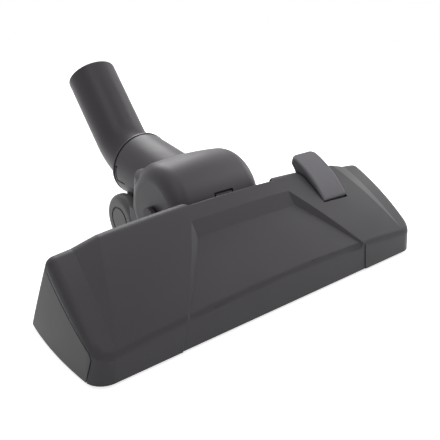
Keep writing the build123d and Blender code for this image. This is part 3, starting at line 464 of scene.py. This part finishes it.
def plain_copy(name, obj):
    """New object that holds what an object's modifiers make, in the place of that object."""
    graph = bpy.context.evaluated_depsgraph_get()
    mesh = bpy.data.meshes.new_from_object(obj.evaluated_get(graph))
    mesh.name = name
    made = place_mesh(name, mesh)
    bpy.data.objects.remove(obj)
    return made


def new_tree(name, sizes):
    """Geometry node tree with a named input for each size; gives it with its start and its end."""
    tree = bpy.data.node_groups.new(name, "GeometryNodeTree")
    tree.interface.new_socket("Geometry", in_out="INPUT", socket_type="NodeSocketGeometry")
    for size in sizes:
        tree.interface.new_socket(size, in_out="INPUT", socket_type="NodeSocketFloat")
    tree.interface.new_socket("Geometry", in_out="OUTPUT", socket_type="NodeSocketGeometry")
    return tree, tree.nodes.new("NodeGroupInput").outputs, tree.nodes.new("NodeGroupOutput").inputs


def random_turn(tree, low, high, seed):
    """Random turn between two sets of three angles, each a number or an output."""
    turn = tree.nodes.new("FunctionNodeRandomValue")
    turn.data_type = "FLOAT_VECTOR"
    turn.inputs["Seed"].default_value = seed
    for limit, angles in (("Min", low), ("Max", high)):
        joined = tree.nodes.new("ShaderNodeCombineXYZ")
        for socket, angle in zip(joined.inputs, angles):
            give(tree, socket, angle)
        tree.links.new(joined.outputs["Vector"], turn.inputs[limit])
    return turn.outputs["Value"]


def end_tree(tree, copies, end, material):
    """Ends a tree with its copies made real and given a material."""
    real = tree.nodes.new("GeometryNodeRealizeInstances")
    finish = tree.nodes.new("GeometryNodeSetMaterial")
    finish.inputs["Material"].default_value = material
    tree.links.new(copies.outputs["Instances"], real.inputs["Geometry"])
    tree.links.new(real.outputs["Geometry"], finish.inputs["Geometry"])
    tree.links.new(finish.outputs["Geometry"], end["Geometry"])


def use_tree(obj, tree, sizes):
    """Puts a tree on an object and sets its sizes, each by its socket's identifier."""
    modifier = obj.modifiers.new(tree.name, "NODES")
    modifier.node_group = tree
    for socket in tree.interface.items_tree:
        if socket.name in sizes:
            modifier[socket.identifier] = sizes[socket.name]
            print(tree.name, socket.name, round(sizes[socket.name], 6))


print("tree helpers ready")

# %% [markdown]
# Bristles and lint pile are the same thing at two sizes: thin tapered hairs that stand on a set of
# small faces. Hair curves could be grown there, but cones with a few sides are closer to a stiff bristle
# and turn into a mesh at once. The tree scatters them and leans each its own way. They hang down,
# because everything here is on the underside.

# %% Hair tree
HAIR_SIDES = 5
HAIR_TAPER = 0.55
SHORTEST_HAIR = 0.90


def face_object(name, rectangles, height):
    """Level rectangles (x0, y0, x1, y1) at a height, facing down."""
    corners = []
    faces = []
    for x0, y0, x1, y1 in rectangles:
        first = len(corners)
        corners += [(x0, y0, height), (x0, y1, height), (x1, y1, height), (x1, y0, height)]
        faces.append((first, first + 1, first + 2, first + 3))
    mesh = bpy.data.meshes.new(name)
    mesh.from_pydata(corners, [], faces)
    return place_mesh(name, mesh)


def random_length(tree, seed):
    """Random share of the full length; a random number uses the node's third and fourth input."""
    share = tree.nodes.new("FunctionNodeRandomValue")
    share.data_type = "FLOAT"
    share.inputs[2].default_value = SHORTEST_HAIR
    share.inputs[3].default_value = 1.0
    share.inputs["Seed"].default_value = seed
    return share.outputs[1]


def add_hairs(obj, sizes, material, seed):
    """Scatters hairs on an object's faces, by Length, Radius, Density per square metre and Lean."""
    tree, start, end = new_tree(obj.name + "_hairs", sizes)
    points = tree.nodes.new("GeometryNodeDistributePointsOnFaces")
    points.inputs["Seed"].default_value = seed
    tree.links.new(start["Geometry"], points.inputs["Mesh"])
    tree.links.new(start["Density"], points.inputs["Density"])
    hair = tree.nodes.new("GeometryNodeMeshCone")
    hair.fill_type = "NONE"
    hair.inputs["Vertices"].default_value = HAIR_SIDES
    tree.links.new(arithmetic(tree, "MULTIPLY", start["Radius"], HAIR_TAPER), hair.inputs["Radius Top"])
    tree.links.new(start["Radius"], hair.inputs["Radius Bottom"])
    tree.links.new(start["Length"], hair.inputs["Depth"])
    lean = start["Lean"]
    least = (arithmetic(tree, "SUBTRACT", math.pi, lean), arithmetic(tree, "MULTIPLY", lean, -1.0), 0.0)
    most = (arithmetic(tree, "ADD", math.pi, lean), lean, 2 * math.pi)
    copies = tree.nodes.new("GeometryNodeInstanceOnPoints")
    tree.links.new(points.outputs["Points"], copies.inputs["Points"])
    tree.links.new(hair.outputs["Mesh"], copies.inputs["Instance"])
    tree.links.new(random_turn(tree, least, most, seed + 1), copies.inputs["Rotation"])
    tree.links.new(random_length(tree, seed + 2), copies.inputs["Scale"])
    end_tree(tree, copies, end, material)
    use_tree(obj, tree, sizes)


print("hairs have", HAIR_SIDES, "sides")

# %% [markdown]
# A bristle strip is a row of tufts in a backing. The solids show each tuft as a block. Here every tuft
# becomes a bunch of hairs that spread a little towards the floor, with the block's width and pitch. The
# hairs are then stretched, so that the longest reach as low as the solid, and get a backing like its own.

# %% Bristles
TUFT_PITCH = 0.0044
TUFT_WIDTH = 0.0032
TUFT_MARGIN = 0.0004
BACKING_HEIGHT = 0.0011
BACKING_BEVEL = 0.0002
BRISTLE_RADIUS = 0.00014
BRISTLE_LEAN = 0.07
BRISTLES_PER_TUFT = 26


def add_block(edit, low, high, bevel):
    """Adds a bevelled block between two corners to a mesh being edited."""
    size = [b - a for a, b in zip(low, high)]
    middle = [(a + b) / 2 for a, b in zip(low, high)]
    place = Matrix.Translation(middle) @ Matrix.Diagonal((*size, 1))
    made = bmesh.ops.create_cube(edit, size=1.0, matrix=place)
    edges = {edge for vert in made["verts"] for edge in vert.link_edges}
    bmesh.ops.bevel(edit, geom=list(edges), offset=bevel, segments=2, affect="EDGES", profile=0.5)


for seed, name in ((11, "front_bristles"), (23, "rear_bristles")):
    low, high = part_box(name)
    root = high.z - BACKING_HEIGHT
    count = int((high.x - low.x) / TUFT_PITCH)
    starts = [TUFT_PITCH * (i - (count - 1) / 2) - TUFT_WIDTH / 2 for i in range(count)]
    front, back = low.y + TUFT_MARGIN, high.y - TUFT_MARGIN
    tufts = face_object(name + "_tufts", [(x, front, x + TUFT_WIDTH, back) for x in starts], root)
    density = BRISTLES_PER_TUFT / (TUFT_WIDTH * (high.y - low.y - 2 * TUFT_MARGIN))
    sizes = {"Length": root - low.z, "Radius": BRISTLE_RADIUS, "Density": density, "Lean": BRISTLE_LEAN}
    add_hairs(tufts, sizes, finishes["bristle"], seed)
    strip = plain_copy(name + "_tufted", tufts)
    edit = bmesh.new()
    edit.from_mesh(strip.data)
    lowest = min(vert.co.z for vert in edit.verts)
    for vert in edit.verts:
        vert.co.z = root + (vert.co.z - root) * (root - low.z) / (root - lowest)
        vert.co.y = min(max(vert.co.y, low.y), high.y)
    add_block(edit, (low.x, low.y, root), high, BACKING_BEVEL)
    edit.to_mesh(strip.data)
    edit.free()
    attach(strip, "brush")
    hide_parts(name)
    print(strip.name, count, "tufts,", len(strip.data.polygons), "faces")

# %% [markdown]
# A lint strip is a flat backing in the solids, and stays. Short red hairs stand on it, from just inside
# the backing. They lean far more than bristles do, each its own way, and are kept off the floor.

# %% Lint pile
PILE_LENGTH = 0.0011
PILE_RADIUS = 0.00012
PILE_DENSITY = 4.5e6
PILE_LEAN = 0.5
PILE_ROOT_DEPTH = 0.0002
PILE_FLOOR_GAP = 0.0002

for seed, name in ((31, "front_lint_strip"), (47, "rear_lint_strip")):
    low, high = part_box(name)
    bed = face_object(name + "_bed", [(low.x, low.y, high.x, high.y)], low.z + PILE_ROOT_DEPTH)
    sizes = {"Length": PILE_LENGTH, "Radius": PILE_RADIUS, "Density": PILE_DENSITY, "Lean": PILE_LEAN}
    add_hairs(bed, sizes, finishes["lint_fabric"], seed)
    pile = plain_copy(name + "_pile", bed)
    for vert in pile.data.vertices:
        vert.co.z = max(vert.co.z, PILE_FLOOR_GAP)
    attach(pile, "head")
    print(pile.name, len(pile.data.polygons), "faces")

# %% [markdown]
# The screws hold the sole to the cover and the neck's halves together. Each of the two nodes has several
# in one mesh, so their places are found first: points that edges join belong to one screw. Sorting the
# boxes keeps the same screw first in every run.

# %% Screw places
MERGE_DISTANCE = 1e-6


def separate_boxes(node):
    """Boxes (low, high) of a node's separate solids, sorted by their low corner."""
    edit = bmesh.new()
    edit.from_mesh(frame["nodes"][node].data)
    bmesh.ops.remove_doubles(edit, verts=edit.verts, dist=MERGE_DISTANCE)
    left = set(edit.verts)
    boxes = []
    while left:
        group = [left.pop()]
        for vert in group:
            # The group grows while it is read, until no neighbour is left.
            near = {edge.other_vert(vert) for edge in vert.link_edges} & left
            left -= near
            group += near
        spots = [vert.co for vert in group]
        boxes.append((Vector(map(min, zip(*spots))), Vector(map(max, zip(*spots)))))
    edit.free()
    return sorted(boxes, key=lambda box: tuple(box[0]))


screw_boxes = {node: separate_boxes(node) for node in ("sole_screws", "neck_screws")}
print("screws:", {node: len(boxes) for node, boxes in screw_boxes.items()})

# %% [markdown]
# A screw has a domed head with a cross slot and a ringed shank. It is round, so a profile is turned about
# its axis, and a plug with four arms then cuts the slot. A real thread would be a helix, but rings look
# much the same at this size and come straight from the profile.

# %% Screw shape
TURN_STEPS = 28
DOME_STEPS = 6
DOME_SHARE = 0.55
RING_PITCH = 0.8
RING_ROOT = 0.78
CROSS_REACH = 0.62
CROSS_HALF_WIDTH = 0.13
CROSS_DEPTH = 0.6
CROSS_TAPER = 0.55


def turned(name, profile):
    """Object turned about Z from (radius, height) pairs, closed at both ends on the axis."""
    edit = bmesh.new()
    line = [edit.verts.new((radius, 0, height)) for radius, height in profile]
    edges = [edit.edges.new(pair) for pair in zip(line, line[1:])]
    bmesh.ops.spin(edit, geom=line + edges, cent=(0, 0, 0), axis=(0, 0, 1),
                   angle=2 * math.pi, steps=TURN_STEPS)
    bmesh.ops.remove_doubles(edit, verts=edit.verts, dist=MERGE_DISTANCE)
    bmesh.ops.recalc_face_normals(edit, faces=edit.faces)
    return close_edit(name, edit)


def cross_cutter(name, reach, half_width, depth):
    """Plug with four arms that narrows upwards, to cut a cross slot into a head at height 0."""
    arm = [Vector((x, y, 0)) for x, y in ((reach, -half_width), (reach, half_width), (half_width, half_width))]
    quarters = [Matrix.Rotation(turn * math.pi / 2, 3, "Z") for turn in range(4)]
    outline = [quarter @ corner for quarter in quarters for corner in arm]
    edit = bmesh.new()
    rings = []
    for height, share in ((-depth, 1.0), (depth, CROSS_TAPER)):
        rings.append([edit.verts.new((share * corner.x, share * corner.y, height)) for corner in outline])
    edit.faces.new(rings[0][::-1])
    edit.faces.new(rings[1])
    for i in range(len(outline)):
        edit.faces.new((rings[0][i - 1], rings[0][i], rings[1][i], rings[1][i - 1]))
    return close_edit(name, edit)


def screw(name, head_radius, head_height, shank_radius, length):
    """Screw with its head at the bottom, from height 0 up."""
    angles = [i * math.pi / (2 * DOME_STEPS) for i in range(DOME_STEPS + 1)]
    dome = [(head_radius * math.sin(a), head_height * DOME_SHARE * (1 - math.cos(a))) for a in angles]
    shank = [(head_radius, head_height), (shank_radius, head_height)]
    pitch = RING_PITCH * shank_radius
    height = head_height + pitch
    while height < length - 2 * pitch:
        shank += [(shank_radius, height), (RING_ROOT * shank_radius, height + pitch / 2)]
        height += pitch
    body = turned(name, dome + shank + [(shank_radius, height), (0.0, length)])
    cross = (CROSS_REACH * head_radius, CROSS_HALF_WIDTH * head_radius, CROSS_DEPTH * head_height)
    cutter = cross_cutter(name + "_cross", *cross)
    body.modifiers.new("cross", "BOOLEAN").object = cutter
    made = plain_copy(name, body)
    bpy.data.objects.remove(cutter)
    return made


print("screw heads are turned in", TURN_STEPS, "steps")

# %% [markdown]
# One screw is made for each of the two nodes, as long as its solid, and geometry nodes set copies at the
# places of the solids, head down. Nobody tightens all screws to the same angle, so each is turned by a
# random part of a quarter turn, after which a cross looks the same again.

# %% Set the screws
SCREW_SEED = 5
LARGEST_TURN = math.pi / 2
SCREW_KINDS = (("sole_screws", "head", 0.0019, 0.0013), ("neck_screws", "neck", 0.0015, 0.0011))


def set_copies(name, model, places, material):
    """Copies of an object at several places, each turned by chance, as one mesh."""
    mesh = bpy.data.meshes.new(name + "_places")
    mesh.from_pydata(places, [], [])
    obj = place_mesh(name + "_places", mesh)
    sizes = {"Largest Turn": LARGEST_TURN}
    tree, start, end = new_tree(name + "_copies", sizes)
    shape = tree.nodes.new("GeometryNodeObjectInfo")
    shape.inputs["Object"].default_value = model
    turn = random_turn(tree, (0.0, 0.0, 0.0), (0.0, 0.0, start["Largest Turn"]), SCREW_SEED)
    copies = tree.nodes.new("GeometryNodeInstanceOnPoints")
    tree.links.new(start["Geometry"], copies.inputs["Points"])
    tree.links.new(shape.outputs["Geometry"], copies.inputs["Instance"])
    tree.links.new(turn, copies.inputs["Rotation"])
    end_tree(tree, copies, end, material)
    use_tree(obj, tree, sizes)
    made = plain_copy(name, obj)
    bpy.data.objects.remove(model)
    return made


for node, body, head_height, shank_radius in SCREW_KINDS:
    boxes = screw_boxes[node]
    low, high = boxes[0]
    model = screw(node + "_model", (high.x - low.x) / 2, head_height, shank_radius, high.z - low.z)
    places = [((a.x + b.x) / 2, (a.y + b.y) / 2, a.z) for a, b in boxes]
    screws = set_copies(node + "_slotted", model, places, finishes["steel"])
    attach(screws, body)
    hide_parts(node)
    print(screws.name, len(boxes), "screws,", len(screws.data.polygons), "faces")
